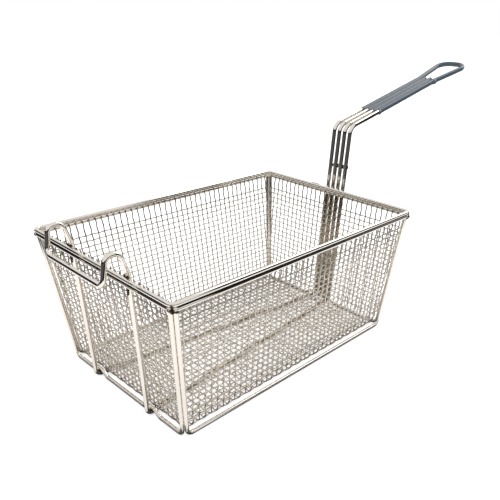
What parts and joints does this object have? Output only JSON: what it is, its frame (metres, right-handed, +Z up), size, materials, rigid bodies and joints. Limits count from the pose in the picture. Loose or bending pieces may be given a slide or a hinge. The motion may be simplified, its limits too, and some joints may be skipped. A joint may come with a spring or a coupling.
{
  "type": "deep fryer basket",
  "caption": "Tapered rectangular wire-mesh fry basket with a doubled wire rim, a front hanging hook and a long dip-coated wire handle ending in a loop.",
  "frame": {"origin": "on the surface the basket stands on, below the middle of the rim", "axes": "+X from the hook end to the handle end, +Y to the far long wall, +Z up"},
  "size_m": [0.5223, 0.199, 0.2375],
  "materials": {
    "plated_wire": "bright nickel plate",
    "cloth_wire": "plated woven wire cloth",
    "grip_dip": "satin dip coating"
  },
  "bodies": {
    "root": {"rim_upper_wire": "plated_wire", "rim_lower_wire": "plated_wire", "front_end_frame": "plated_wire", "rear_end_frame": "plated_wire", "near_side_frame": "plated_wire", "far_side_frame": "plated_wire", "main_wire": "plated_wire", "near_handle_wire": "plated_wire", "far_handle_wire": "plated_wire", "upper_cross_bar": "plated_wire", "lower_cross_bar": "plated_wire", "wire_cloth": "cloth_wire", "grip_coating": "grip_dip"}
  },
  "joints": []
}
